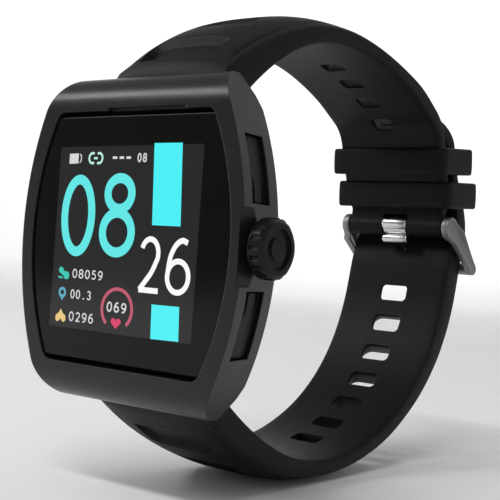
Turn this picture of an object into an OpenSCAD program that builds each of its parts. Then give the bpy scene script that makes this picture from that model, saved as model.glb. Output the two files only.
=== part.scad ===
// Smartwatch with a barrel-shaped case, a turning and pressing crown and a buckled
// silicone strap. Millimetres. +X is the crown side, -Y is where the face looks,
// +Z is 12 o'clock. The origin is the centre of the wrist opening.

/* [Case] */
// case width across the bezel at 3 and 9 o'clock
case_w = 36.4; // [34:0.2:40]
// case height over both end bars
case_h = 40.4; // [38:0.2:44]
// distance from the wrist centre to the bezel plane
face_y = 37.0; // [34:0.5:42]
// depth of the case wall behind the bezel plane
wall_d = 8.5; // [7.5:0.1:10]
// radius of the rolled end bars
bar_r = 4.6; // [3:0.1:5]

/* [Display] */
// lit square of the display
lit_w = 23.4; // [20:0.1:24]
// width of the window in the bezel at 3 and 9 o'clock
window_w = 32.6; // [30:0.2:33.4]
// height of the window in the bezel
window_h = 31.0; // [28:0.2:32]
// glass thickness
glass_t = 1.2; // [0.8:0.1:1.6]

/* [Crown] */
// diameter of the crown cap
crown_d = 7.0; // [5:0.1:8]
// how far the crown presses in
crown_travel = 0.35; // [0.2:0.05:0.4]

/* [Strap] */
// strap width
strap_w = 18.4; // [16:0.1:18.8]
// strap thickness behind the wrist
strap_t = 2.3; // [1.8:0.1:2.6]
// diameter of the spring bar tubes
bar_d = 1.8; // [1.5:0.1:2]
// size of the holes, along the strap
hole_l = 3.0; // [2.4:0.1:3.6]
// size of the holes, across the strap
hole_w = 4.8; // [2.4:0.1:5.4]
// angle between two holes, seen from the middle of the wrist arc
hole_step = 11.55; // [10:0.05:12]

/* [Hidden] */
$fn = 96;
eps = 0.01;

case_x = case_w / 2;
case_z = case_h / 2;
front = -face_y;
back = front + wall_d;

// barrel arcs: radius of a side arc and how far its centre lies past the middle
side_r = 42.1;
side_c = side_r - case_x;
side_taper = 1.7;
win_r = 34.3;
corner_r = 1.5;
pin_hole_w = 2.2;
win_c = win_r - window_w / 2;

// layers behind the bezel plane, front to back
glass_y0 = front + 0.25;
glass_y1 = glass_y0 + glass_t;
ledge_y = glass_y1 + 0.2;
face_y1 = ledge_y;
module_y1 = face_y1 + 1.7;
frame_y1 = module_y1 + 0.8;
board_y1 = frame_y1 + 0.8;
cover_y0 = back - 0.9;
dome_y1 = back + 2.0;

// inside of the case
cav_x = 14.6;
cav_z = 13.4;
room_r = 75.4;

// spring bars and the slots that hold the strap ends
pin_y = front + 6.9;
pin_z = 16.5;
slot_x = strap_w / 2 + 0.3;
slot_y = front + bar_r;
slot_z = 14.3;
tip_r = 0.4;
tip_hole_r = 0.45;
tip_x = strap_w / 2 + 1.5;
knob_a = 20;

// crown
crown_y = front + 4.0;
stem_r = 1.2;
boss_x = case_x - 0.7;
boss_z = 4.4;
cap_x0 = case_x + 0.1;
cap_x1 = cap_x0 + 1.8;

// back cover and its screws
seat_h = 27.2;
screw_x = 11.5;
screw_z = 11.4;

// wrist arc
arc_y = 0.6;
arc_z = 0.8;
arc_r = 26.8;

// straight run of the strap under the keepers: start, direction and normal
run_y = 27.2;
run_z = 3.2;
run_a = 20;
run_d = [-sin(run_a), cos(run_a)];
run_n = [cos(run_a), sin(run_a)];

// buckle
buckle_s = 2.4;
buckle_n = 0.0;
buckle_y = run_y + buckle_s * run_d[0] + buckle_n * run_n[0];
buckle_z = run_z + buckle_s * run_d[1] + buckle_n * run_n[1];
far_s = -5.8;
far_n = 3.9;
far_y = run_y + far_s * run_d[0] + far_n * run_n[0];
far_z = run_z + far_s * run_d[1] + far_n * run_n[1];
loop_x = 8.5;
tongue_w = 4.0;
blade_w = 1.9;

// keeper loops: inside and outside limits along the run's normal
keep_in = [-0.35, 5.85];
keep_out = [-1.75, 7.2];

// ---------- helpers ----------

// a prism drawn in X and Z, from y0 to y1
module along_y(y0, y1) {
  translate([0, y1, 0])
    rotate([90, 0, 0])
      linear_extrude(height = y1 - y0)
        children();
}

// a prism drawn in Y and Z, from x0 to x1
module along_x(x0, x1) {
  translate([x0, 0, 0])
    rotate([90, 0, 90])
      linear_extrude(height = x1 - x0)
        children();
}

// a round bar along X
module rod(x0, x1, r) {
  translate([x0, 0, 0])
    rotate([0, 90, 0])
      cylinder(h = x1 - x0, r = r);
}

// a tapered round bar along X
module cone_rod(x0, x1, r0, r1) {
  translate([x0, 0, 0])
    rotate([0, 90, 0])
      cylinder(h = x1 - x0, r1 = r0, r2 = r1);
}

// a round bar along Y
module post(y0, y1, r) {
  translate([0, y1, 0])
    rotate([90, 0, 0])
      cylinder(h = y1 - y0, r = r);
}

// the four screw places of the back cover
module at_screws() {
  for (sx = [-1, 1])
    for (sz = [-1, 1])
      translate([sx * screw_x, 0, sz * screw_z])
        children();
}

module box(x0, x1, y0, y1, z0, z1) {
  translate([x0, y0, z0])
    cube([x1 - x0, y1 - y0, z1 - z0]);
}

// a barrel outline: two side arcs and flat ends with cut corners
module barrel(r, c, h, cut) {
  intersection() {
    translate([-c, 0])
      circle(r = r, $fn = 180);
    translate([c, 0])
      circle(r = r, $fn = 180);
    square([60, h], center = true);
    if (cut > 0)
      rotate(45)
        square((r - c) * 2 * 0.7071 + h * 0.7071 - cut, center = true);
  }
}

// the window outline: a barrel with rounded corners
module window_shape(r, h) {
  rc = r - win_r + corner_r;
  kx = sqrt(pow(win_r - corner_r, 2) - pow(window_h / 2 - corner_r, 2)) - win_c;
  kz = window_h / 2 - corner_r;
  u = [(kx + win_c) / (win_r - corner_r), kz / (win_r - corner_r)];
  difference() {
    barrel(r, win_c, h, 0);
    for (sx = [0, 1])
      for (sz = [0, 1])
        mirror([sx, 0])
          mirror([0, sz])
            translate([kx, kz])
              difference() {
                polygon([[0, 0], [u[0] * 4, u[1] * 4], [4, 4], [0, 4]]);
                circle(r = rc);
              }
  }
}

// one side arc of the case as a cone, so that the wall leans in to the back
module side_cone(sx) {
  translate([-sx * side_c, back, 0])
    rotate([90, 0, 0])
      cylinder(h = wall_d, r1 = side_r - side_taper, r2 = side_r, $fn = 180);
}

// smooth curve through points: one span of a Catmull-Rom curve
function span(p, i, t) =
  let (a = p[i - 1], b = p[i], c = p[i + 1], d = p[i + 2])
  0.5 * (2 * b + (c - a) * t + (2 * a - 5 * b + 4 * c - d) * t * t
    + (3 * b - a - 3 * c + d) * t * t * t);

function smooth(p, n) = [
  for (i = [1 : len(p) - 3])
    for (k = [0 : n - 1])
      span(p, i, k / n),
  p[len(p) - 2]
];

function unit(v) = v / norm(v);

// left-hand normal of a run of points
function side_of(q, i) =
  let (a = q[max(i - 1, 0)], b = q[min(i + 1, len(q) - 1)], u = unit(b - a))
  [-u[1], u[0]];

function ramp(x, x0, x1, y0, y1) =
  let (t = min(max((x - x0) / (x1 - x0), 0), 1))
  y0 + (y1 - y0) * t * t * (3 - 2 * t);

// ---------- case ----------

module corner_cutter() {
  difference() {
    translate([11.45, 17.2])
      square([10, 10]);
    translate([11.45, 17.2])
      circle(r = case_z - 17.2);
  }
}

module case_profile() {
  difference() {
    polygon([
      [front, -case_z], [front, case_z], [front + 5.2, case_z],
      [back - 0.9, 17.9], [back, 16.3], [back, -16.3], [back - 0.9, -17.9],
      [front + 5.2, -case_z]
    ]);
    for (s = [-1, 1])
      difference() {
        translate([front - 1, s > 0 ? case_z - bar_r : -case_z - 1])
          square([bar_r + 1, bar_r + 1]);
        translate([front + bar_r, s * (case_z - bar_r)])
          circle(r = bar_r);
      }
  }
}

module case_outer() {
  difference() {
    intersection() {
      side_cone(1);
      side_cone(-1);
      along_x(-22, 22)
        case_profile();
    }
    for (sx = [0, 1])
      for (sz = [0, 1])
        mirror([sx, 0, 0])
          mirror([0, 0, sz])
            along_y(front - 1, back + 1)
              corner_cutter();
  }
}

// long recess in the side wall, cut by a leaning block
module side_panel(z0, z1) {
  translate([0, 0, z0])
    linear_extrude(height = z1 - z0)
      polygon([
        [13, front + 1.9], [22, front + 1.9], [22, back - 2.2], [13, back - 2.2]
      ]);
}

module case_body() {
  color([0.07, 0.07, 0.075])
    difference() {
      case_outer();
      // window, ledge and display opening
      along_y(front - 1, ledge_y)
        window_shape(win_r, window_h);
      box(-13.0, 13.0, ledge_y - eps, ledge_y + 1.2, -13.6, 13.4);
      // room for the electronics
      along_y(ledge_y + 1.1, cover_y0 + eps)
        barrel(room_r, room_r - cav_x, cav_z * 2, 0);
      // seat of the back cover
      along_y(cover_y0, back + 1)
        barrel(38, 38 - 15.2, seat_h, 0);
      // strap slots behind the end bars
      for (s = [-1, 1])
        box(-slot_x, slot_x, slot_y, back + 2,
          s > 0 ? slot_z : -24, s > 0 ? 24 : -slot_z);
      // spring bar holes, and at 6 o'clock their way out to the back
      for (s = [-1, 1])
        translate([0, pin_y, s * pin_z])
          rod(-11.3, 11.3, tip_hole_r);
      box(-11.3, 11.3, pin_y, back + 1, -pin_z - 0.6, -pin_z + 0.6);
      // crown bore
      translate([0, crown_y, 0]) {
        rod(cav_x - 1, 22, 1.9);
        rod(12.9, cav_x + 0.05, 2.0);
      }
      // flat boss behind the crown cap
      box(boss_x, 25, front - 1, back + 1, -boss_z, boss_z);
      // recesses for the side inlays
      for (sx = [0, 1])
        for (sz = [0, 1])
          mirror([sx, 0, 0])
            mirror([0, 0, sz])
              difference() {
                side_panel(4.9, 12.8);
                along_y(front - 1, back + 1)
                  barrel(room_r, room_r - cav_x - 0.6, 60, 0);
              }
      // microphone slot at the top edge of the window
      box(-4.0, 8.5, front - 1, glass_y0 + 0.6, window_h / 2 - eps, window_h / 2 + 0.35);
    }
}

module side_inlay(sx, sz) {
  mirror([sx, 0, 0])
    mirror([0, 0, sz])
      intersection() {
        side_panel(5.1, 12.6);
        difference() {
          translate([-side_c - 0.55, back, 0])
            rotate([90, 0, 0])
              cylinder(h = wall_d, r1 = side_r - side_taper, r2 = side_r, $fn = 180);
          // two lengthwise grooves leave a raised bar between them
          for (k = [0, 1])
            translate([0, front + 3.1 + k * 2.2, 0])
              box(16.2 - k * 0.4, 22, 0, 0.5, 4, 14);
          along_y(front - 1, back + 1)
            barrel(room_r, room_r - cav_x - 0.6, 60, 0);
        }
      }
}

module side_inlay_3_upper() {
  color([0.045, 0.045, 0.05])
    side_inlay(0, 0);
}

module side_inlay_3_lower() {
  color([0.045, 0.045, 0.05])
    side_inlay(0, 1);
}

module side_inlay_9_upper() {
  color([0.045, 0.045, 0.05])
    side_inlay(1, 0);
}

module side_inlay_9_lower() {
  color([0.045, 0.045, 0.05])
    side_inlay(1, 1);
}

// ---------- glass and display ----------

module glass_cover() {
  color([0.02, 0.02, 0.025])
    difference() {
      along_y(glass_y0, glass_y1)
        window_shape(win_r - 0.2, window_h - 0.4);
      // chamfer along the top and bottom edges
      for (s = [-1, 1])
        translate([0, glass_y0, s * (window_h / 2 - 0.2)])
          rotate([45, 0, 0])
            cube([40, 0.7, 0.7], center = true);
    }
}

module glass_gasket() {
  color([0.03, 0.03, 0.03])
    along_y(glass_y1, ledge_y)
      difference() {
        window_shape(win_r - 0.4, window_h - 0.8);
        square([25.0, 27.4], center = true);
      }
}

module display_face() {
  color([0.12, 0.13, 0.15])
    box(-lit_w / 2, lit_w / 2, glass_y1, face_y1, -lit_w / 2, lit_w / 2);
}

module display_module() {
  color([0.1, 0.1, 0.1])
    difference() {
      box(-12.6, 12.6, face_y1, module_y1, -13.4, 13.2);
      // step for the driver edge of the panel
      box(-12.9, 12.9, face_y1 + 0.9, module_y1 + 1, -14, -12.1);
    }
}

module inner_frame() {
  color([0.2, 0.2, 0.21])
    difference() {
      union() {
        box(-13.2, 13.2, module_y1, frame_y1, -13.3, 13.3);
        // screw bosses that carry the back cover
        at_screws()
          post(module_y1, cover_y0, 0.9);
      }
      box(9.8, 15, module_y1 - 1, frame_y1 + 1, -4.4, 4.4);
      for (k = [-1, 0, 1])
        box(-8, 4, module_y1 - 1, frame_y1 + 1, k * 7 - 2.4, k * 7 + 2.4);
      at_screws()
        post(cover_y0 - 1.2, cover_y0 + 1, 0.5);
    }
}

module main_board() {
  color([0.02, 0.18, 0.09])
    difference() {
      box(-13.0, 13.0, frame_y1, board_y1, -13.1, 13.1);
      box(9.8, 15, frame_y1 - 1, board_y1 + 1, -4.4, 4.4);
      at_screws()
        post(frame_y1 - 1, board_y1 + 1, 1.0);
    }
}

module board_chips() {
  color([0.05, 0.05, 0.06]) {
    box(-12.4, -8.6, board_y1, board_y1 + 0.9, 4.6, 8.4);
    box(-12.2, -9.4, board_y1, board_y1 + 0.7, 0.4, 3.2);
    box(7.9, 9.7, board_y1, board_y1 + 0.8, -12.4, -10.4);
    for (k = [0 : 4])
      box(-12.4, -11.6, board_y1, board_y1 + 0.5, -2.2 - k * 1.9, -1.0 - k * 1.9);
  }
}

module shield_can() {
  color([0.62, 0.63, 0.65])
    difference() {
      box(-7.4, 8.2, board_y1, board_y1 + 1.5, 4.8, 12.4);
      box(-7.1, 7.9, board_y1 - 1, board_y1 + 1.3, 5.1, 12.1);
    }
}

module battery() {
  color([0.55, 0.57, 0.6])
    union() {
      box(-8.0, 7.4, board_y1, board_y1 + 2.6, -12.3, 3.8);
      box(-3.0, 2.4, board_y1, board_y1 + 1.2, 3.8, 4.6);
    }
}

module vibration_motor() {
  color([0.7, 0.7, 0.72])
    translate([10.3, 0, -7.2])
      post(board_y1, board_y1 + 2.4, 1.9);
}

module microphone() {
  color([0.75, 0.7, 0.5])
    box(9.4, 12.4, board_y1, board_y1 + 1.0, 7.8, 10.2);
}

// ---------- back ----------

module back_cover() {
  color([0.05, 0.05, 0.055])
    difference() {
      union() {
        along_y(cover_y0, back)
          barrel(37.9, 37.9 - 15.1, seat_h - 0.2, 0);
        translate([0, dome_y1, 0])
          rotate([90, 0, 0])
            cylinder(h = dome_y1 - back + eps, r1 = 11.2, r2 = 13.0);
      }
      // hollow under the dome
      translate([0, dome_y1 - 1.0, 0])
        rotate([90, 0, 0])
          cylinder(h = 2.5, r = 9.6);
      // sensor window seat and light opening
      post(dome_y1 - 0.5, dome_y1 + 1, 5.0);
      box(-3.4, 3.4, dome_y1 - 2, dome_y1, -3.0, 3.0);
      // charging contacts
      for (k = [-1, 1])
        translate([k * 2.6, 0, -7.3])
          post(dome_y1 - 2, dome_y1 + 1, 0.8);
      // screws
      at_screws() {
        post(cover_y0 - 1, back + 1, 0.55);
        post(back - 0.45, back + 1, 1.05);
      }
    }
}

module back_gasket() {
  color([0.35, 0.1, 0.08])
    along_y(cover_y0 - 0.25, cover_y0)
      difference() {
        barrel(room_r, room_r - 14.2, 26.6, 0);
        barrel(room_r, room_r - 13.4, 25.0, 0);
      }
}

module back_screws() {
  color([0.3, 0.3, 0.32])
    at_screws()
      difference() {
        union() {
          post(cover_y0 - 0.9, back - 0.4, 0.48);
          post(back - 0.4, back, 1.0);
        }
        box(-0.16, 0.16, back - 0.2, back + 1, -0.6, 0.6);
        box(-0.6, 0.6, back - 0.2, back + 1, -0.16, 0.16);
      }
}

module sensor_window() {
  color([0.03, 0.03, 0.04])
    post(dome_y1 - 0.5, dome_y1 + 0.15, 4.95);
}

module sensor_leds() {
  color([0.3, 0.55, 0.35]) {
    box(-3.9, 3.9, dome_y1 - 1.4, dome_y1 - 1.0, -3.5, 3.5);
    for (k = [-1, 1])
      box(k * 1.9 - 0.7, k * 1.9 + 0.7, dome_y1 - 1.0, dome_y1 - 0.6, -0.7, 0.7);
    box(-0.8, 0.8, dome_y1 - 1.0, dome_y1 - 0.6, 1.2, 2.4);
  }
}

module charging_contacts() {
  color([0.85, 0.7, 0.35])
    for (k = [-1, 1])
      translate([k * 2.6, 0, -7.3])
        post(dome_y1 - 1.6, dome_y1 + 0.1, 0.75);
}

module charging_magnets() {
  color([0.6, 0.6, 0.62])
    for (k = [-1, 1])
      box(k * 5.9 - 1.0, k * 5.9 + 1.0, dome_y1 - 2.2, dome_y1 - 1.0, -6.4, -3.6);
}

// ---------- crown ----------

module crown_tube() {
  color([0.5, 0.5, 0.52])
    translate([0, crown_y, 0])
      difference() {
        rod(14.6, 17.4, 1.9);
        rod(13, 19, stem_r + 0.05);
        rod(16.2, 19, 1.66);
      }
}

module crown_switch() {
  color([0.25, 0.25, 0.26])
    translate([0, crown_y, 0]) {
      box(10.4, 12.0, -0.3, 1.0, -1.7, 1.7);
      rod(11.9, 12.95 - crown_travel - 0.02, 0.55);
    }
}

module crown_bush() {
  color([0.8, 0.8, 0.76])
    translate([0, crown_y, 0])
      difference() {
        union() {
          rod(12.95, 13.3, 1.6);
          box(12.95, 13.3, 0, 1.5, -2.6, 2.6);
        }
        box(12, 14, -3, -0.55, -3, 3);
      }
}

module crown_cap() {
  color([0.06, 0.06, 0.065])
    translate([0, crown_y, 0])
      difference() {
        union() {
          rod(cap_x0, cap_x1 - 0.45, crown_d / 2);
          cone_rod(cap_x1 - 0.45, cap_x1, crown_d / 2, crown_d / 2 - 0.55);
        }
        // dished face with a raised ring and a button
        difference() {
          rod(cap_x1 - 0.35, cap_x1 + 1, 2.35);
          rod(cap_x1 - 0.4, cap_x1 - 0.1, 1.25);
        }
        // grip notches
        for (k = [0 : 17])
          rotate([k * 20, 0, 0])
            translate([0, crown_d / 2 + 0.12, 0])
              rod(cap_x0 + 0.3, cap_x1 - 0.3, 0.34, $fn = 24);
        // seat of the stem
        rod(cap_x0 - 1, cap_x0 + 0.8, stem_r);
      }
}

module crown_stem() {
  color([0.66, 0.66, 0.68])
    translate([0, crown_y, 0])
      difference() {
        rod(13.4, cap_x0 + 0.8, stem_r);
        // groove of the clip
        difference() {
          rod(13.55, 13.9, stem_r + 1);
          rod(13.5, 13.95, stem_r - 0.3);
        }
      }
}

module crown_seal() {
  color([0.02, 0.02, 0.02])
    translate([17.05, crown_y, 0])
      rotate([0, 90, 0])
        rotate_extrude()
          translate([stem_r + 0.2, 0])
            circle(r = 0.2, $fn = 24);
}

module crown_clip() {
  color([0.7, 0.7, 0.72])
    translate([0, crown_y, 0])
      difference() {
        rod(13.58, 13.87, 1.75);
        rod(13, 14.5, stem_r - 0.3);
        box(13, 14.5, -0.5, 3, -0.5, 0.5);
      }
}

// ---------- strap ----------

// inner line of the buckle side, from 12 o'clock round to the buckle
upper_pts = [
  [-28.6, 17.0], [-27.6, 18.0], [-24.4, 20.9], [-20.6, 23.7], [-16.0, 26.2],
  [-11.0, 27.9], [-5.8, 28.6], [-0.6, 28.5], [4.6, 27.7], [9.6, 26.2],
  [14.0, 24.4], [17.6, 22.4], [20.0, 20.9], [21.42, 19.08], [22.7, 15.56],
  [24.07, 11.8], [24.64, 10.25], [25.17, 8.63], [25.11, 6.91], [25.3, 5.06],
  [25.64, 4.12]
];
// inner line of the tail, from 6 o'clock round to its tip
lower_pts = [
  [-28.6, -17.0], [-27.6, -18.0], [-24.9, -20.2], [-21.6, -22.5], [-17.6, -24.8],
  [-12.4, -27.0], [-7.0, -28.1], [-1.6, -28.3], [3.6, -27.5], [8.2, -26.0],
  [12.4, -24.0], [16.2, -21.4], [19.5, -18.3], [22.3, -14.6], [24.3, -10.8],
  [25.7, -6.9], [26.5, -3.6], [27.15, -0.6], [28.1, 2.3], [29.35, 5.1],
  [29.3, 7.8], [28.2, 10.2], [26.96, 13.1], [25.3, 17.0], [23.96, 20.0],
  [22.75, 21.75], [21.6, 23.0]
];

upper_in = smooth(upper_pts, 6);
lower_in = smooth(lower_pts, 6);

function upper_t(q) = q[0] > 20 ? strap_t : ramp(q[0], -28, -6, 4.3, strap_t);
function lower_t(q) = q[0] > 20 ? strap_t : ramp(q[0], -28, -6, 4.3, strap_t);

upper_out = [for (i = [0 : len(upper_in) - 1])
  upper_in[i] + side_of(upper_in, i) * upper_t(upper_in[i])];
lower_out = [for (i = [0 : len(lower_in) - 1])
  lower_in[i] - side_of(lower_in, i) * lower_t(lower_in[i])];

function flip(q) = [for (i = [len(q) - 1 : -1 : 0]) q[i]];

module strap_end(s, q_in, q_out) {
  polygon([
    [pin_y - 0.2, s * pin_z], [pin_y + 1.9, s * pin_z],
    q_in[0], q_in[3], q_out[3], q_out[0]
  ]);
}

// slot for a quick-release knob, on the wrist side of a strap end
module knob_slot(s) {
  translate([0, pin_y, s * pin_z])
    rotate([-s * knob_a, 0, 0])
      box(3.4, 7.0, 0, 4, -0.8, 0.8);
}

module hole_at(a, l, w) {
  translate([0, arc_y, arc_z])
    rotate([a, 0, 0])
      translate([0, 25, 0])
        box(-w / 2, w / 2, 0, 12, -l / 2, l / 2);
}

module strap_upper() {
  color([0.03, 0.03, 0.032])
    difference() {
      union() {
        along_x(-strap_w / 2, strap_w / 2)
          union() {
            polygon(concat(upper_in, flip(upper_out)));
            strap_end(1, upper_in, upper_out);
            translate([buckle_y, buckle_z])
              circle(r = 1.6, $fn = 48);
          }
        translate([0, pin_y, pin_z])
          rod(-strap_w / 2, strap_w / 2, 2.0);
      }
      translate([0, pin_y, pin_z])
        rod(-20, 20, bar_d / 2 + 0.05);
      knob_slot(1);
      // vent holes
      for (k = [0 : 3])
        hole_at(47 + 11.6 * k, 2.4, 3.6);
      // buckle pin bore and the notch for the tongue
      translate([0, buckle_y, buckle_z])
        rod(-20, 20, 0.8);
      translate([0, run_y, run_z])
        rotate([run_a, 0, 0]) {
          box(-tongue_w / 2 - 0.25, tongue_w / 2 + 0.25, -3, 4.4, -1, 4.6);
          // the end narrows to fit between the buckle's arms
          for (k = [-1, 1])
            translate([k * (loop_x + 2), 0, 1.9])
              cube([4, 9, 6], center = true);
        }
    }
}

module strap_lower() {
  color([0.03, 0.03, 0.032])
    difference() {
      union() {
        along_x(-strap_w / 2, strap_w / 2)
          union() {
            polygon(concat(lower_in, flip(lower_out)));
            strap_end(-1, lower_in, lower_out);
          }
        translate([0, pin_y, -pin_z])
          rod(-strap_w / 2, strap_w / 2, 2.0);
      }
      translate([0, pin_y, -pin_z])
        rod(-20, 20, bar_d / 2 + 0.05);
      knob_slot(-1);
      // adjusting holes
      for (k = [0 : 6])
        hole_at(-13.9 - hole_step * k, hole_l, hole_w);
      // the hole that the tongue goes through
      translate([0, 29.6, 3.1])
        rotate([-23, 0, 0])
          box(-pin_hole_w / 2, pin_hole_w / 2, -5, 5, -2.1, 2.6);
    }
}

module spring_bar(s) {
  translate([0, pin_y, s * pin_z])
    difference() {
      union() {
        rod(-8.8, 8.8, bar_d / 2);
        rod(-tip_x, -8.7, tip_r);
      }
      rod(0.6, 9, 0.55);
      rotate([-s * knob_a, 0, 0])
        box(3.6, 6.8, 0, 2, -0.55, 0.55);
    }
}

module spring_bar_12() {
  color([0.7, 0.7, 0.72])
    spring_bar(1);
}

module spring_bar_6() {
  color([0.7, 0.7, 0.72])
    spring_bar(-1);
}

// quick-release plunger, whose tip enters the case
module plunger(s) {
  translate([0, pin_y, s * pin_z]) {
    rod(2.6, 8.6, 0.5);
    rod(8.5, tip_x, tip_r);
  }
}

// the knob on the plunger, which a fingernail pulls along the slot
module release_knob(s) {
  translate([0, pin_y, s * pin_z])
    difference() {
      rotate([-s * knob_a, 0, 0])
        translate([5.9, 0, 0])
          rotate([-90, 0, 0]) {
            cylinder(h = 2.2, r = 0.45, $fn = 32);
            translate([0, 0, 1.9])
              cylinder(h = 0.7, r = 0.7, $fn = 32);
          }
      rod(2, 9, 0.5);
      translate([0, -2, -2])
        box(2, 9, 0, 2, 0, 4);
    }
}

module plunger_12() {
  color([0.72, 0.72, 0.74])
    plunger(1);
}

module plunger_6() {
  color([0.72, 0.72, 0.74])
    plunger(-1);
}

module release_knob_12() {
  color([0.75, 0.75, 0.77])
    release_knob(1);
}

module release_knob_6() {
  color([0.75, 0.75, 0.77])
    release_knob(-1);
}

// ---------- keepers ----------

// a rectangular loop round both strap layers, centred at s along the run
module keeper(s, w) {
  translate([0, run_y, run_z])
    rotate([run_a, 0, 0])
      difference() {
        box(-10.6, 10.6, keep_out[0], keep_out[1], s - w / 2, s + w / 2);
        box(-9.5, 9.5, keep_in[0], keep_in[1], s - w, s + w);
        // bevelled outer corners
        for (k = [-1, 1])
          for (y = keep_out)
            translate([k * 10.6, y, s])
              rotate([0, 0, 45])
                cube([1.1, 1.1, 2 * w], center = true);
      }
}

module fixed_keeper() {
  color([0.03, 0.03, 0.032]) {
    keeper(7.9, 4.4);
    // the bridge that joins it to the buckle side
    translate([0, run_y, run_z])
      rotate([run_a, 0, 0])
        box(-6, 6, -0.36, 0, 6.6, 9.2);
  }
}

module free_keeper() {
  color([0.03, 0.03, 0.032])
    keeper(13.3, 4.4);
}

// ---------- buckle ----------

module buckle_pin() {
  color([0.6, 0.6, 0.62])
    translate([0, buckle_y, buckle_z])
      rod(-9.8, 9.8, 0.75);
}

buckle_a = atan2(far_z - buckle_z, far_y - buckle_y);
buckle_l = norm([far_y - buckle_y, far_z - buckle_z]);

// arms and far bar, in a frame whose +Y runs from the pin to the far bar
module arm_side() {
  circle(r = 1.65, $fn = 48);
  polygon([[0, -1.65], [buckle_l, -1.0], [buckle_l, 1.0], [0, 1.65]]);
  translate([buckle_l, 0])
    circle(r = 1.0, $fn = 48);
}

// the arms stand close together at the pin and wider apart where the tail passes
module arm_plan() {
  polygon([
    [8.7, -3], [8.7, 0.6], [9.55, 1.9], [9.75, buckle_l + 3], [10.95, buckle_l + 3],
    [10.8, 2.0], [10.2, 0.4], [10.2, -3]
  ]);
}

module buckle_frame() {
  color([0.62, 0.62, 0.63])
    translate([0, buckle_y, buckle_z])
      rotate([buckle_a, 0, 0])
        difference() {
          union() {
            for (k = [0, 1])
              mirror([k, 0, 0])
                intersection() {
                  along_x(8, 12)
                    arm_side();
                  translate([0, 0, -5])
                    linear_extrude(height = 10)
                      arm_plan();
                }
            translate([0, buckle_l, 0])
              rod(-9.9, 9.9, 0.95, $fn = 48);
          }
          rod(-9.82, 9.82, 0.8);
        }
}

module buckle_tongue() {
  color([0.68, 0.68, 0.69])
    translate([0, buckle_y, buckle_z])
      rotate([buckle_a, 0, 0])
        difference() {
          union() {
            rod(-tongue_w / 2, tongue_w / 2, 1.45);
            along_x(-tongue_w / 2, tongue_w / 2)
              polygon([[0, 0.35], [2.0, 0.5], [2.0, 1.4], [0, 1.35]]);
            along_x(-blade_w / 2, blade_w / 2)
              polygon([[0, 0.4], [buckle_l + 0.6, 1.1], [buckle_l + 1.0, 1.6],
                [buckle_l + 0.6, 1.9], [0, 1.3]]);
          }
          rod(-20, 20, 0.8);
        }
}

// ---------- shown pieces ----------

case_body();
side_inlay_3_upper();
side_inlay_3_lower();
side_inlay_9_upper();
side_inlay_9_lower();
glass_cover();
glass_gasket();
display_face();
display_module();
inner_frame();
main_board();
board_chips();
shield_can();
battery();
vibration_motor();
microphone();
back_cover();
back_gasket();
back_screws();
sensor_window();
sensor_leds();
charging_contacts();
charging_magnets();
crown_tube();
crown_switch();
crown_bush();
crown_cap();
crown_stem();
crown_seal();
crown_clip();
strap_upper();
strap_lower();
spring_bar_12();
spring_bar_6();
plunger_12();
plunger_6();
release_knob_12();
release_knob_6();
fixed_keeper();
free_keeper();
buckle_pin();
buckle_frame();
buckle_tongue();
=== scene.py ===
"""The smartwatch's looks: detailed strap, keepers, buckle, display and materials."""

import math

import bmesh
import bpy
from mathutils import Matrix, Vector


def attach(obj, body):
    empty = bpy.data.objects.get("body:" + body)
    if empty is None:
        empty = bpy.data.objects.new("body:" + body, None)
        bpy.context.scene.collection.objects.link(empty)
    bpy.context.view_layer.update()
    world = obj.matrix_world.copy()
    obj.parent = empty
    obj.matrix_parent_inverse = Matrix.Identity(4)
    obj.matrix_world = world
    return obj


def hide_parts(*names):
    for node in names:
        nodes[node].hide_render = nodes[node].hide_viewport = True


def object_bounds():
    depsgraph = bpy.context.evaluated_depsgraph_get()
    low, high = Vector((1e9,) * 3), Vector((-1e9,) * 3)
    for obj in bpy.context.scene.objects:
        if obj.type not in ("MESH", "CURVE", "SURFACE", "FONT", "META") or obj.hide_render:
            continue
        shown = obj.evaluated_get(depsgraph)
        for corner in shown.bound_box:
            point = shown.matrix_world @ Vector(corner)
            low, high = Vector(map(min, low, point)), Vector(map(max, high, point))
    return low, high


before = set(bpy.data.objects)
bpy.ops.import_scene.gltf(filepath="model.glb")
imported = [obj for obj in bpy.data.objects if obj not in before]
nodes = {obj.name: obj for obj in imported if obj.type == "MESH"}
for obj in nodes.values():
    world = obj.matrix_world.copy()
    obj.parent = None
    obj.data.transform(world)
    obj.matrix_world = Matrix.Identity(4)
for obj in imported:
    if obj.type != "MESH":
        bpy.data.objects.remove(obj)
cad_lo, cad_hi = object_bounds()
MM = 0.001

# ---------- dimensions shared with part.scad, in millimetres ----------

# the case front, the 12 o'clock spring bar, half the strap's width, the middle of the wrist arc
FRONT = -37.0
PIN_Y, PIN_Z = -30.1, 16.5
STRAP_W = 9.2
ARC_Y, ARC_Z = 0.6, 0.8
# the straight run under the keepers: its start, lean, direction and outward normal
RUN_Y, RUN_Z, RUN_A = 27.2, 3.2, math.radians(20)
RUN_D = (-math.sin(RUN_A), math.cos(RUN_A))
RUN_N = (math.cos(RUN_A), math.sin(RUN_A))
# the buckle pin and the far bar of its frame, in the run's own coordinates
PIN_S = 2.4
BAR_S, BAR_N = -5.8, 3.9
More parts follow.
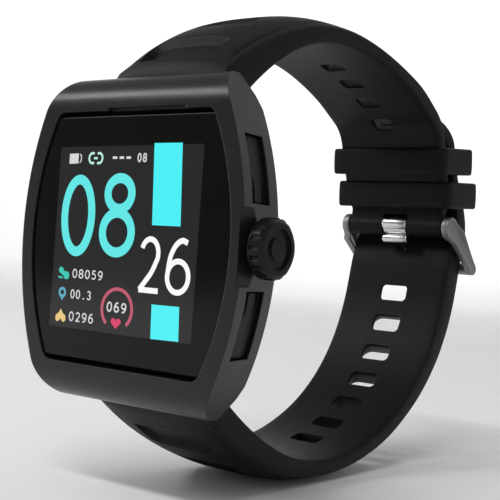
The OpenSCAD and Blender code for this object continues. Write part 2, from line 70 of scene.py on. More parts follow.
# inner lines of the two strap halves in (y, z); the first and last points only guide the curve
UPPER = [
    (-28.6, 17.0), (-27.6, 18.0), (-24.4, 20.9), (-20.6, 23.7), (-16.0, 26.2),
    (-11.0, 27.9), (-5.8, 28.6), (-0.6, 28.5), (4.6, 27.7), (9.6, 26.2),
    (14.0, 24.4), (17.6, 22.4), (20.0, 20.9), (21.42, 19.08), (22.7, 15.56),
    (24.07, 11.8), (24.64, 10.25), (25.17, 8.63), (25.11, 6.91), (25.3, 5.06),
    (25.64, 4.12),
]
LOWER = [
    (-28.6, -17.0), (-27.6, -18.0), (-24.9, -20.2), (-21.6, -22.5), (-17.6, -24.8),
    (-12.4, -27.0), (-7.0, -28.1), (-1.6, -28.3), (3.6, -27.5), (8.2, -26.0),
    (12.4, -24.0), (16.2, -21.4), (19.5, -18.3), (22.3, -14.6), (24.3, -10.8),
    (25.7, -6.9), (26.5, -3.6), (27.15, -0.6), (28.1, 2.3), (29.35, 5.1),
    (29.3, 7.8), (28.2, 10.2), (26.96, 13.1), (25.3, 17.0), (23.96, 20.0),
    (22.75, 21.75), (21.6, 23.0),
]


def on_run(s, n):
    """A point of the straight run: s along it and n out from the strap's inner face."""
    return (
        RUN_Y + s * RUN_D[0] + n * RUN_N[0],
        RUN_Z + s * RUN_D[1] + n * RUN_N[1],
    )


BUCKLE_Y, BUCKLE_Z = on_run(PIN_S, 0.0)
BAR_Y, BAR_Z = on_run(BAR_S, BAR_N)

# ---------- mesh helpers ----------


def shade(obj, angle=35):
    """Weld, turn the faces outwards and smooth all edges flatter than the angle."""
    bm = bmesh.new()
    bm.from_mesh(obj.data)
    bmesh.ops.remove_doubles(bm, verts=bm.verts, dist=1e-6)
    bmesh.ops.recalc_face_normals(bm, faces=bm.faces)
    bm.to_mesh(obj.data)
    bm.free()
    obj.data.shade_smooth()
    obj.data.set_sharp_from_angle(angle=math.radians(angle))


def solid(name, verts, faces, angle=35):
    """A new object in the scene, its points given in millimetres."""
    mesh = bpy.data.meshes.new(name)
    mesh.from_pydata([(x * MM, y * MM, z * MM) for x, y, z in verts], [], faces)
    mesh.update()
    obj = bpy.data.objects.new(name, mesh)
    bpy.context.scene.collection.objects.link(obj)
    shade(obj, angle)
    return obj


def loft(rings, loop=False):
    """Vertices and faces of a skin through rings of equal length. Open skins are capped."""
    n, m = len(rings[0]), len(rings)
    verts = [p for ring in rings for p in ring]
    faces = []
    for i in range(m if loop else m - 1):
        a, b = i * n, ((i + 1) % m) * n
        for k in range(n):
            j = (k + 1) % n
            faces.append((a + k, a + j, b + j, b + k))
    if not loop:
        faces.append(tuple(range(n - 1, -1, -1)))
        faces.append(tuple((m - 1) * n + k for k in range(n)))
    return verts, faces


def joined(parts):
    """Several separate skins as one list of vertices and one of faces."""
    verts, faces = [], []
    for v, f in parts:
        faces += [tuple(i + len(verts) for i in face) for face in f]
        verts += list(v)
    return verts, faces


def carve(obj, cutters, operation="DIFFERENCE", angle=35):
    """Cut the cutters away from an object, or add them with UNION, and remove them."""
    for cutter in cutters:
        mod = obj.modifiers.new("carve", "BOOLEAN")
        mod.solver = "EXACT"
        mod.operation = operation
        mod.object = cutter
    bpy.context.view_layer.update()
    graph = bpy.context.evaluated_depsgraph_get()
    mesh = bpy.data.meshes.new_from_object(obj.evaluated_get(graph))
    obj.modifiers.clear()
    obj.data = mesh
    for cutter in cutters:
        bpy.data.objects.remove(cutter)
    shade(obj, angle)
    return obj


def rounded_rect(w, h, r, steps=5):
    """Corner-rounded rectangle of half sizes w and h, as points."""
    r = min(r, w * 0.98, h * 0.98)
    pts = []
    for cx, cy, a0 in ((1, 1, 0), (-1, 1, 90), (-1, -1, 180), (1, -1, 270)):
        for k in range(steps + 1):
            a = math.radians(a0 + 90 * k / steps)
            pts.append((cx * (w - r) + r * math.cos(a), cy * (h - r) + r * math.sin(a)))
    return pts


def turned(y0, z0, angle):
    """Frame whose Y axis leans by angle about X at a point."""
    return Matrix.Translation((0, y0, z0)) @ Matrix.Rotation(angle, 4, "X")


def placed(matrix, pts):
    return [tuple(matrix @ Vector(p)) for p in pts]


def circle(x, y0, z0, r, n):
    """Points round a circle about an axis along X."""
    angles = [2 * math.pi * k / n for k in range(n)]
    return [(x, y0 + r * math.cos(a), z0 + r * math.sin(a)) for a in angles]


def rod(y0, z0, r, x0, x1, n=48):
    return loft([circle(x, y0, z0, r, n) for x in (x0, x1)])


def block(matrix, lo, hi):
    """A box between two corners of a placed frame."""
    corners = ((lo[0], lo[2]), (hi[0], lo[2]), (hi[0], hi[2]), (lo[0], hi[2]))
    return loft([placed(matrix, [(x, y, z) for x, z in corners]) for y in (lo[1], hi[1])])


def step(t):
    """Smooth rise from 0 to 1."""
    t = min(max(t, 0.0), 1.0)
    return t * t * (3 - 2 * t)


def catmull(points, n):
    """Smooth curve through all points but the first and the last, n pieces between neighbours."""
    out = []
    for i in range(1, len(points) - 2):
        a, b, c, d = (Vector(q) for q in points[i - 1 : i + 3])
        for k in range(n):
            t = k / n
            out.append(
                0.5
                * (
                    2 * b
                    + (c - a) * t
                    + (2 * a - 5 * b + 4 * c - d) * t * t
                    + (3 * b - a - 3 * c + d) * t**3
                )
            )
    out.append(Vector(points[-2]))
    return out


def table(s, knots, values):
    """Smooth reading of a value between knots."""
    if s <= knots[0]:
        return values[0]
    for i in range(len(knots) - 1):
        if s <= knots[i + 1]:
            t = (s - knots[i]) / (knots[i + 1] - knots[i])
            slope = [
                (values[min(j + 1, len(values) - 1)] - values[max(j - 1, 0)])
                / (knots[min(j + 1, len(knots) - 1)] - knots[max(j - 1, 0)])
                for j in (i, i + 1)
            ]
            h = knots[i + 1] - knots[i]
            a, b = values[i], values[i + 1]
            return (
                a * (2 * t**3 - 3 * t**2 + 1)
                + h * slope[0] * (t**3 - 2 * t**2 + t)
                + b * (-2 * t**3 + 3 * t**2)
                + h * slope[1] * (t**3 - t**2)
            )
    return values[-1]


# ---------- strap ----------

EDGE_R = 0.35
GROOVE_X = 8.3
GROOVE_DEEP = 0.24
GROOVE_HALF = 0.27
CROWN_POWER = 3.2
LINE_STEPS = 12
STRAP_SMOOTH = 48
PIN_HOLE_R = 0.95
BARREL_R = 1.6
BORE_R = 0.8
OUTER_X = (
    [-8.85, -8.62, -8.45, -GROOVE_X, -8.15, -7.95, -7.55]
    + [-7.1 + 14.2 * k / 28 for k in range(29)]
    + [7.55, 7.95, 8.15, GROOVE_X, 8.45, 8.62, 8.85]
)
INNER_X = [8.85 - 17.7 * k / 18 for k in range(19)]


def groove(x):
    """Depth of the fine groove along each edge of the outer face."""
    return GROOVE_DEEP * max(0.0, 1 - abs(abs(x) - GROOVE_X) / GROOVE_HALF)


def strap_ring(inner, edge, mid, w, dent):
    """One cross-section. inner, edge and mid are (y, z) on the inner face, at the sides of the
    outer face and at its middle; dent(x) is a depth below the crowned outer face."""
    k = w / STRAP_W
    inner, edge, mid = Vector(inner), Vector(edge), Vector(mid)
    up = (edge - inner).normalized()
    ring = []

    def outer(x):
        return edge + (mid - edge) * (1 - min(abs(x) / STRAP_W, 1) ** CROWN_POWER)

    def add(x, p):
        ring.append((x, p.x, p.y))

    for x in OUTER_X:
        add(x * k, outer(x) - up * dent(x))
    corner = (STRAP_W - EDGE_R) * k
    tall = (edge - inner).length
    r = min(EDGE_R, tall * 0.3)
    points = []
    for a in (30, 60, 90):
        c, s = math.cos(math.radians(a)), math.sin(math.radians(a))
        x = corner + EDGE_R * k * s
        points.append((x, outer(x / k) - up * (r * (1 - c))))
    points.append((corner + EDGE_R * k, inner + up * (tall * 0.5)))
    for a in (0, 30, 60):
        c, s = math.cos(math.radians(a)), math.sin(math.radians(a))
        points.append((corner + EDGE_R * k * c, inner + up * (r * (1 - s))))
    for x, p in points:
        add(x, p)
    for x in INNER_X:
        add(x * k, inner)
    for x, p in reversed(points):
        add(-x, p)
    return ring


def strap_sweep(line, side, thick, crown, dents, start, width):
    """Rings along a strap half: line is its inner line, side +1 or -1 the sense of the outward
    normal, thick and crown are tables along it, and start holds the sections of its end block."""
    pts = catmull(line, LINE_STEPS)
    rings = []
    for inner, edge, mid in start:
        rings.append(strap_ring(inner, edge, mid, STRAP_W, lambda x: 0.0))
    s = 0.0
    total = sum((pts[i + 1] - pts[i]).length for i in range(len(pts) - 1))
    for i, p in enumerate(pts):
        if i:
            s += (p - pts[i - 1]).length
        a, b = pts[max(i - 1, 0)], pts[min(i + 1, len(pts) - 1)]
        t = (b - a).normalized()
        normal = Vector((-t.y, t.x)) * side
        edge = p + normal * table(s, *thick)
        mid = edge + normal * table(s, *crown)
        fade = step((s - 1.0) / 2.0)

        def dent(x, s=s, fade=fade):
            return max(groove(x) * fade, dents(x, s))

        rings.append(strap_ring(p, edge, mid, width(s, total), dent))
    return rings


def recess(x, s, items):
    """Depth of the cross recesses: each has a start, an end, half widths there and depths there."""
    deep = 0.0
    for s0, s1, h0, h1, d0, d1 in items:
        f = min(max((s - s0) / (s1 - s0), 0), 1)
        half = h0 + (h1 - h0) * f
        across = step((half - abs(x)) / 0.5 + 0.5)
        along = step((s - s0) / 0.45 + 0.5) * step((s1 - s) / 0.9 + 0.5)
        deep = max(deep, (d0 + (d1 - d0) * f) * across * along)
    return deep


def slot_cutter(matrix, w, h, r, lo, mid, flare):
    """Rounded slot along its frame's Y, straight in the middle and flaring out at both faces."""
    rings = []
    for y, g in ((lo[0], flare[0]), (lo[1], (0, 0)), (mid[0], (0, 0)), (mid[1], flare[1])):
        rings.append(
            placed(matrix, [(x, y, z) for x, z in rounded_rect(w + g[0], h + g[1], r + g[1])])
        )
    return loft(rings)


# tables along the strap: distances from the case end, and the thickness or the crown's height there
UPPER_THICK = (
    [0, 4, 9, 16, 26, 35, 41, 47, 53, 60, 70],
    [4.4, 3.8, 3.0, 2.4, 1.95, 1.7, 1.9, 2.25, 2.1, 1.75, 1.5],
)
UPPER_CROWN = ([0, 4, 9, 16, 26, 40, 70], [1.2, 2.0, 2.3, 1.9, 1.2, 1.0, 0.9])
LOWER_THICK = (
    [0, 4, 9, 16, 26, 34, 40, 47, 53, 60, 66, 73, 77, 83, 90, 93, 97],
    [3.7, 3.5, 3.2, 2.7, 1.9, 1.85, 2.1, 2.4, 2.9, 3.55, 3.95, 4.0, 3.5, 2.0, 1.9, 2.4, 3.0],
)
LOWER_CROWN = ([0, 4, 9, 16, 26, 40, 60, 75, 97], [0.8, 0.8, 0.9, 1.0, 0.95, 0.8, 0.5, 0.4, 0.4])
# cross recesses: start, end, half widths and depths
UPPER_DENTS = [(1.2, 5.3, 6.0, 5.6, 1.2, 1.0), (9.8, 13.9, 4.7, 3.6, 0.8, 0.5)]
LOWER_DENTS = [(3.6, 7.6, 5.4, 5.0, 0.8, 0.7), (12.2, 16.0, 4.4, 3.6, 0.7, 0.45)]


def end_block(side):
    """The rounded end that holds the spring bar, as explicit sections from the tip outwards."""
    rows = [
        ((-29.5, 14.62), (-30.7, 14.62), (-30.75, 14.62)),
        ((-28.8, 15.1), (-31.45, 15.1), (-31.5, 15.1)),
        ((-28.5, 15.9), (-31.9, 16.2), (-31.95, 16.2)),
        ((-28.45, 16.6), (-32.0, 17.8), (-32.1, 18.0)),
    ]
    if side > 0:
        rows.append(((-28.1, 17.3), (-31.75, 19.6), (-32.1, 20.2)))
    else:
        rows.append(((-28.1, 17.3), (-31.7, 19.3), (-32.0, 19.8)))
    return [tuple((y, z * side) for y, z in row) for row in rows]


def upper_width(s, total):
    """The end narrows to fit between the buckle's arms."""
    return STRAP_W - 0.7 * step((s - (total - 4.4)) / 1.6)


def lower_width(s, total):
    """The tail's tip is rounded."""
    t = max(0.0, (s - (total - 5.6)) / 6.0)
    return STRAP_W * (1 - t**2.6) ** (1 / 2.6)


def inner_radius(line, angle):
    """Distance from the middle of the wrist arc to the strap's inner face in one direction."""
    a = math.radians(angle)
    d = Vector((math.cos(a), math.sin(a)))
    best = min(
        catmull(line, LINE_STEPS),
        key=lambda p: abs((p.x - ARC_Y) * d.y - (p.y - ARC_Z) * d.x)
        + (1e3 if (p.x - ARC_Y) * d.x + (p.y - ARC_Z) * d.y < 0 else 0),
    )
    return math.hypot(best.x - ARC_Y, best.y - ARC_Z)


VENT_ANGLES = [47 + 11.6 * k for k in range(4)]
HOLE_ANGLES = [-13.9 - 11.55 * k for k in range(7)]
HOLE_FROM = 23
MOUTH_IN = (1.5, 1.5)


def arc_frame(angle):
    return turned(ARC_Y, ARC_Z, math.radians(angle))


def strap_hole(line, angle, w, h, r, far, mouth_out):
    """Cutter for one hole across the strap; mouth_out is how far its outer mouth spreads."""
    near = inner_radius(line, angle)
    return slot_cutter(
        arc_frame(angle), w, h, r, (HOLE_FROM, near + 0.15), (near + 0.55, near + far),
        (MOUTH_IN, mouth_out),
    )


def knob_slot(side):
    """The window for a quick-release knob beside a spring bar."""
    along_bar = turned(PIN_Y, PIN_Z * side, math.radians(-20 * side))
    return block(along_bar, (3.4, 0, -0.8), (7.0, 4, 0.8))


def cut_strap(strap, cuts):
    carve(strap, [solid("tmp_cut_%d" % i, *c) for i, c in enumerate(cuts)], angle=STRAP_SMOOTH)
    return strap


def make_strap_upper():
    rings = strap_sweep(
        UPPER, 1, UPPER_THICK, UPPER_CROWN, lambda x, s: recess(x, s, UPPER_DENTS),
        end_block(1), upper_width,
    )
    strap = solid("strap_upper_skin", *loft(rings), angle=STRAP_SMOOTH)
    barrel = solid("tmp_barrel", *rod(BUCKLE_Y, BUCKLE_Z, BARREL_R, -8.5, 8.5))
    carve(strap, [barrel], "UNION", angle=STRAP_SMOOTH)
    tongue_gap = block(turned(RUN_Y, RUN_Z, RUN_A), (-2.25, -3, -1), (2.25, 4.4, 4.6))
    cuts = [
        rod(PIN_Y, PIN_Z, PIN_HOLE_R, -12, 12),
        rod(BUCKLE_Y, BUCKLE_Z, BORE_R, -12, 12),
        knob_slot(1),
        tongue_gap,
    ]
    cuts += [strap_hole(UPPER, a, 1.75, 1.25, 0.6, 5.0, (3.3, 1.9)) for a in VENT_ANGLES]
    return cut_strap(strap, cuts)


def make_strap_lower():
    rings = strap_sweep(
        LOWER, -1, LOWER_THICK, LOWER_CROWN, lambda x, s: recess(x, s, LOWER_DENTS),
        end_block(-1), lower_width,
    )
    strap = solid("strap_lower_skin", *loft(rings), angle=STRAP_SMOOTH)
    cuts = [rod(PIN_Y, -PIN_Z, PIN_HOLE_R, -12, 12), knob_slot(-1)]
    cuts += [strap_hole(LOWER, a, 2.4, 1.3, 0.7, 6.0, (4.0, 1.7)) for a in HOLE_ANGLES]
    tongue_hole = turned(29.6, 3.1 + 0.25, math.radians(-23))
    cuts.append(
        slot_cutter(tongue_hole, 1.1, 2.35, 0.5, (-6, -1.3), (1.3, 6), ((0.5, 0.5), (0.5, 0.5)))
    )
    return cut_strap(strap, cuts)


# ---------- keepers ----------

KEEP_W = 4.2
KEEP_R = 0.42
KEEP_SWELL = 0.05
KEEP_IN = (9.4, 3.6)
KEEP_OUT = (10.5, 4.75)
KEEP_TURN = 8
KEEP_STRAIGHT = 10


def keeper_path(half, r):
    """A rounded rectangle with extra points along its straight sides."""
    corners = rounded_rect(half[0], half[1], r, KEEP_TURN)
    path = []
    for k, p in enumerate(corners):
        path.append(p)
        if (k + 1) % (KEEP_TURN + 1) == 0:
            q = corners[(k + 1) % len(corners)]
            for j in range(1, KEEP_STRAIGHT):
                f = j / KEEP_STRAIGHT
                path.append(tuple(a + (b - a) * f for a, b in zip(p, q)))
    return path


def keeper_loop(y0, z0, angle):
    """A moulded loop with soft edges and slightly swelling faces, leaning at a point."""
    run = turned(y0, z0, math.radians(angle))
    outer, inner = keeper_path(KEEP_OUT, 0.75), keeper_path(KEEP_IN, 0.4)
    hw, r = KEEP_W / 2, KEEP_R
    # each point of the section: outer or inner side, end along the run, and its offsets
    section = []
    for cx, cy, a0 in ((1, 1, 0), (0, 1, 90), (0, -1, 180), (1, -1, 270)):
        for k in range(5):
            a = math.radians(a0 + 90 * k / 4)
            section.append((cx, cy, r * math.cos(a), r * math.sin(a)))
        if cx == 0 and cy == 1:
            section.append((0, 0.35, -r, 0))
            section.append((0, -0.35, -r, 0))
        if cx == 1 and cy == -1:
            section.append((1, -0.35, r + KEEP_SWELL, 0))
            section.append((1, 0.35, r + KEEP_SWELL, 0))
    rings = []
    for o, i in zip(outer, inner):
        o, i = Vector(o), Vector(i)
        d = (o - i).normalized()
        ring = []
        for cx, cy, da, db in section:
            if cx:
                p = o - d * r + d * da
            else:
                p = i + d * r + d * da
            z = cy * (hw - r) + db if abs(cy) == 1 else cy * hw
            ring.append((p.x, p.y, z))
        rings.append(placed(run, ring))
    return loft(rings, loop=True)


def make_keepers():
    fixed = solid("fixed_keeper_skin", *keeper_loop(28.35, 10.75, 3.5))
    free = solid("free_keeper_skin", *keeper_loop(26.25, 15.98, 4.5))
    return fixed, free


# ---------- buckle ----------

BUCKLE_A = math.atan2(BAR_Z - BUCKLE_Z, BAR_Y - BUCKLE_Y)
BUCKLE_L = math.hypot(BAR_Y - BUCKLE_Y, BAR_Z - BUCKLE_Z)
ARM_R_PIN = 1.75
ARM_R_BAR = 0.95
ARM_STEPS = 14
BAR_R = 0.93
METAL_SMOOTH = 40


def arm_outline(grow):
    """Side outline of a buckle arm in (t, h), a tapering teardrop grown all round."""
    taper = ARM_R_BAR - ARM_R_PIN
    pts = []
    for k in range(13):
        a = math.radians(90 + 180 * k / 12)
        pts.append((ARM_R_PIN * math.cos(a), ARM_R_PIN * math.sin(a)))
    for k in range(1, ARM_STEPS):
        f = k / ARM_STEPS
        pts.append((BUCKLE_L * f, -(ARM_R_PIN + taper * step(f * 1.05))))
    for k in range(13):
        a = math.radians(-90 + 180 * k / 12)
        pts.append((BUCKLE_L + ARM_R_BAR * math.cos(a), ARM_R_BAR * math.sin(a)))
    for k in range(ARM_STEPS - 1, 0, -1):
        f = k / ARM_STEPS
        pts.append((BUCKLE_L * f, ARM_R_PIN + taper * step(f * 0.95 + 0.05)))
    out = []
    for t, h in pts:
        ct = min(max(t, 0.0), BUCKLE_L)
        v = Vector((t - ct, h))
        if v.length > 1e-6:
            v = v.normalized() * max(v.length + grow, 0.05)
        out.append((ct + v.x, v.y))
    return out


def arm_plan(t):
    """Inner and outer |x| of an arm at t: close together at the pin, wider beside the tail."""
    f = step((t - 0.6) / 1.5)
    inner = 8.7 + 0.87 * f + 0.02 * max(t - 2, 0)
    outer = 10.0 + 0.83 * step((t - 0.5) / 1.6) + 0.012 * max(t - 2, 0)
    return inner, outer


def make_tongue_fold():
    """The folded foot of the tongue: a roll round the pin and a smaller one under it."""
    ends = ((-2.25, 0.8), (-2.12, 0.95), (-1.95, 1.0), (1.95, 1.0), (2.12, 0.95), (2.25, 0.8))
    rolls = []
    for dy, dz, r in ((-0.15, 0.3, 1.12), (0.0, -2.1, 0.78)):
        y, z = BUCKLE_Y - 0.5 + dy, BUCKLE_Z + dz
        rolls.append(loft([circle(x, y, z, r * k, 32) for x, k in ends]))
    fold = solid("tongue_fold", *rolls[0])
    lower = solid("tmp_lower", *rolls[1])
    at_pin = turned(BUCKLE_Y, BUCKLE_Z, 0.0)
    web = solid("tmp_web", *block(at_pin, (-2.0, -0.45, -2.2), (2.0, 0.2, 0.4)))
    carve(fold, [lower, web], "UNION", angle=METAL_SMOOTH)
    pin = solid("tmp_pin", *rod(BUCKLE_Y, BUCKLE_Z, PIN_HOLE_R, -4, 4))
    carve(fold, [pin], "DIFFERENCE", angle=METAL_SMOOTH)
    return fold


# layers across an arm: growth of its outline, which face of arm_plan it hangs on, offset from it
ARM_LAYERS = (
    (-0.32, 0, 0.0), (-0.1, 0, 0.07), (0.0, 0, 0.3),
    (0.0, 1, -0.34), (-0.1, 1, -0.1), (-0.36, 1, 0.0),
)


def make_buckle():
    local = turned(BUCKLE_Y, BUCKLE_Z, BUCKLE_A)
    parts = []
    for side in (1, -1):
        rings = []
        for grow, face, dx in ARM_LAYERS:
            ring = []
            for t, h in arm_outline(grow):
                ring.append((side * (arm_plan(t)[face] + dx), t, h))
            rings.append(placed(local, ring))
        parts.append(loft(rings))
    buckle = solid("buckle_frame_skin", *parts[0])
    other = solid("tmp_arm", *parts[1])
    bar_rings = [
        placed(local, circle(x, BUCKLE_L, 0.0, BAR_R, 32)) for x in (-10.0, -6.0, 0.0, 6.0, 10.0)
    ]
    bar = solid("tmp_bar", *loft(bar_rings))
    carve(buckle, [other, bar], "UNION", angle=METAL_SMOOTH)
    return buckle


# ---------- display ----------

# the glass lies a little below the case front, and the lit pieces stand just clear of it
GLASS_Y = FRONT + 0.25
PANEL_BACK = GLASS_Y + 0.02
PANEL_FRONT = GLASS_Y - 0.012
GLYPH_FRONT = GLASS_Y - 0.02


def plate(outline, front=GLYPH_FRONT, back=PANEL_BACK):
    """A thin solid from an outline of (x, z) points."""
    return loft([[(x, y, z) for x, z in outline] for y in (front, back)])


def ribbon(path, width, closed=False, front=GLYPH_FRONT, back=PANEL_BACK):
    """A thin solid stroke of a given width along (x, z) points."""
    n = len(path)
    sides = []
    for i, p in enumerate(path):
        if closed:
            a, b = path[i - 1], path[(i + 1) % n]
        else:
            a, b = path[max(i - 1, 0)], path[min(i + 1, n - 1)]
        t = (Vector(b) - Vector(a)).normalized()
        u = Vector((-t.y, t.x)) * (width / 2)
        sides.append((Vector(p) + u, Vector(p) - u))
    rings = [
        [(a.x, front, a.y), (b.x, front, b.y), (b.x, back, b.y), (a.x, back, a.y)]
        for a, b in sides
    ]
    return loft(rings, loop=closed)


def ellipse(cx, cz, rx, rz, a0=0.0, a1=360.0, n=48):
    """Points of an ellipse, or of an arc from a0 to a1 in degrees."""
    count = n if abs(a1 - a0) >= 360 else n + 1
    angles = [math.radians(a0 + (a1 - a0) * k / n) for k in range(count)]
    return [(cx + rx * math.cos(a), cz + rz * math.sin(a)) for a in angles]


def curve(points, n):
    """Smooth curve through all the points."""
    first = (2 * points[0][0] - points[1][0], 2 * points[0][1] - points[1][1])
    last = (2 * points[-1][0] - points[-2][0], 2 * points[-1][1] - points[-2][1])
    return [tuple(p) for p in catmull([first] + list(points) + [last], n)]


def digit_strokes(d):
    """Strokes of a digit in a unit box, each as (points, closed)."""
    if d == "0":
        return [(ellipse(0.5, 0.5, 0.5, 0.5), True)]
    if d == "8":
        return [
            (ellipse(0.5, 0.75, 0.43, 0.25), True),
            (ellipse(0.5, 0.25, 0.5, 0.25), True),
        ]
    if d == "2":
        top = ellipse(0.48, 0.72, 0.43, 0.28, 160, -20, 20)
        tail = curve([top[-1], (0.62, 0.36), (0.3, 0.16), (0.03, 0.0)], 5)
        return [(top[:-1] + tail, False), ([(0.0, 0.0), (0.5, 0.0), (1.0, 0.0)], False)]
    if d in "69":
        stem = curve([(0.86, 0.96), (0.62, 1.0), (0.34, 0.9), (0.12, 0.66), (0.03, 0.3)], 6)
        strokes = [(stem, False), (ellipse(0.5, 0.3, 0.47, 0.3), True)]
        if d == "9":
            strokes = [([(1 - x, 1 - z) for x, z in s], c) for s, c in strokes]
        return strokes
    if d == "5":
        bowl = ellipse(0.45, 0.32, 0.48, 0.32, 130, -150, 20)
        flag, neck = [(0.9, 1.0), (0.22, 1.0)], [(0.22, 1.0), bowl[0]]
        return [(flag, False), (neck, False), (bowl, False)]
    if d == "3":
        return [
            (ellipse(0.45, 0.75, 0.42, 0.25, 160, -90, 16), False),
            (ellipse(0.45, 0.25, 0.5, 0.25, 90, -160, 16), False),
        ]
    point = ellipse(0.5, 0.04, 0.05, 0.04, n=12)
    return [(point, True)]


def digit(d, x0, x1, z0, z1, stroke):
    """One digit filling a box, as thin solid strokes."""
    w, h = x1 - x0 - stroke, z1 - z0 - stroke
    out = []
    for points, closed in digit_strokes(d):
        path = [(x0 + stroke / 2 + x * w, z0 + stroke / 2 + z * h) for x, z in points]
        out.append(ribbon(path, stroke, closed))
    return out


def number(text, x0, x1, z0, z1, stroke):
    """Several digits side by side in a box."""
    pitch = (x1 - x0) / len(text)
    out = []
    for i, d in enumerate(text):
        a = x0 + i * pitch
        out += digit(d, a + pitch * 0.1, a + pitch * 0.86, z0, z1, stroke)
    return out


def display_pieces():
    """The lit areas of the display by piece name, each a list of thin solids."""
    rows = {}
    rows["display_panel"] = [
        plate([(-12.35, -11.3), (11.4, -11.3), (11.5, 11.35), (-12.2, 11.15)], PANEL_FRONT)
    ]
    rows["display_hours"] = [
        ribbon(ellipse(-8.37, 2.65, 2.4, 4.45, n=64), 1.22, True),
        ribbon(ellipse(-1.36, 5.5, 2.0, 1.85, n=56), 1.2, True),
        ribbon(ellipse(-1.48, 0.8, 2.42, 2.38, n=56), 1.2, True),
    ]
    rows["display_bars"] = [
        plate([(4.25, 1.9), (8.7, 1.9), (8.2, 11.5), (3.8, 11.5)]),
        plate([(5.15, -11.3), (9.5, -11.2), (9.3, -7.25), (5.0, -7.3)]),
    ]
    rows["display_minutes"] = digit("2", 2.4, 6.15, -6.05, 0.6, 0.66) + digit(
        "6", 6.7, 10.8, -6.0, 0.62, 0.66
    )
    small = number("08059", -8.8, -3.2, -5.1, -3.95, 0.17)
    small += number("00.3", -8.9, -5.0, -7.65, -6.5, 0.17)
    small += number("0296", -8.95, -4.35, -10.45, -9.25, 0.17)
    small += number("069", -2.45, 1.15, -8.75, -7.5, 0.2)
    small += number("08", 1.1, 2.85, 9.25, 10.35, 0.18)
    for k in range(3):
        small.append(ribbon([(-2.95 + 1.15 * k, 9.8), (-2.2 + 1.15 * k, 9.8)], 0.3))
    small.append(plate([(-10.55, 9.05), (-8.95, 9.1), (-8.95, 10.35), (-10.55, 10.3)]))
    small.append(ribbon([(-8.7, 9.2), (-8.45, 9.45), (-8.45, 10.05), (-8.7, 10.25)], 0.16))
    rows["display_small"] = small
    rows["display_link"] = [
        ribbon(ellipse(-6.45, 9.75, 0.58, 0.62, 60, 300, 20), 0.3),
        ribbon(ellipse(-5.3, 9.75, 0.58, 0.62, 120, -120, 20), 0.3),
        ribbon([(-6.2, 9.75), (-5.55, 9.75)], 0.28),
    ]
    rows["display_steps"] = [
        plate(ellipse(-10.75, -4.25, 0.42, 0.4, n=24)),
        plate(ellipse(-9.75, -4.85, 0.5, 0.5, n=24)),
        ribbon([(-10.55, -4.45), (-10.0, -4.75)], 0.6),
        ribbon([(-11.2, -5.1), (-10.4, -5.2)], 0.24),
    ]
    rows["display_pin"] = [
        ribbon(ellipse(-10.3, -7.0, 0.5, 0.5, n=28), 0.34, True),
        plate([(-10.78, -7.25), (-9.82, -7.25), (-10.3, -8.05)]),
    ]
    flame = [
        (-10.35, -9.05), (-9.95, -9.6), (-9.5, -9.85), (-9.4, -10.35), (-9.7, -10.7),
        (-10.1, -10.55), (-10.35, -10.25), (-10.6, -10.55), (-11.0, -10.7),
        (-11.3, -10.35), (-11.2, -9.85), (-10.75, -9.6),
    ]
    rows["display_flame"] = [plate(flame)]
    rows["display_ring"] = [ribbon(ellipse(-0.63, -8.35, 2.5, 2.42, 228, -48, 64), 0.42)]
    heart = []
    for k in range(40):
        a = 2 * math.pi * k / 40
        x = 16 * math.sin(a) ** 3
        z = 13 * math.cos(a) - 5 * math.cos(2 * a) - 2 * math.cos(3 * a) - math.cos(4 * a)
        heart.append((-0.65 + x * 0.052, -9.98 + z * 0.045))
    rows["display_heart"] = [plate(heart)]
    return rows


# ---------- materials ----------


class Nodes:
    """A short way to build a material's nodes."""

    def __init__(self, name):
        self.mat = bpy.data.materials.new(name)
        self.mat.use_nodes = True
        self.tree = self.mat.node_tree
        self.bsdf = self.tree.nodes["Principled BSDF"]
        self.coords = self.tree.nodes.new("ShaderNodeTexCoord").outputs["Object"]

    def put(self, node, key, value):
        """Link a socket to an input, or set the input to a plain value."""
        if isinstance(value, bpy.types.NodeSocket):
            self.tree.links.new(value, node.inputs[key])
        else:
            node.inputs[key].default_value = value

    def set(self, key, value):
        self.put(self.bsdf, key, value)

    def add(self, kind, inputs, **props):
        node = self.tree.nodes.new(kind)
        for key, value in props.items():
            setattr(node, key, value)
        for key, value in inputs.items():
            self.put(node, key, value)
        return node

    def noise(self, scale, detail=3.0, rough=0.5, stretch=None):
        vector = self.coords
        if stretch:
            vector = self.add("ShaderNodeMapping", {"Vector": vector, "Scale": stretch}).outputs[0]
        inputs = {"Vector": vector, "Scale": scale, "Detail": detail, "Roughness": rough}
        return self.add("ShaderNodeTexNoise", inputs).outputs["Fac"]

    def ranged(self, value, lo, hi, from_lo=0.3, from_hi=0.7):
        inputs = {
            "Value": value, "From Min": from_lo, "From Max": from_hi, "To Min": lo, "To Max": hi,
        }
        return self.add("ShaderNodeMapRange", inputs).outputs["Result"]

    def mix(self, fac, a, b):
        """A colour mix; its factor, colours and result go by number, as their names repeat."""
        return self.add("ShaderNodeMix", {0: fac, 6: a, 7: b}, data_type="RGBA").outputs[2]

    def bump(self, strength, distance, height, **more):
        inputs = {"Strength": strength, "Distance": distance, "Height": height, **more}
        self.set("Normal", self.add("ShaderNodeBump", inputs).outputs[0])


def rgba(c, k=1.0):
    return (c[0] * k, c[1] * k, c[2] * k, 1.0)


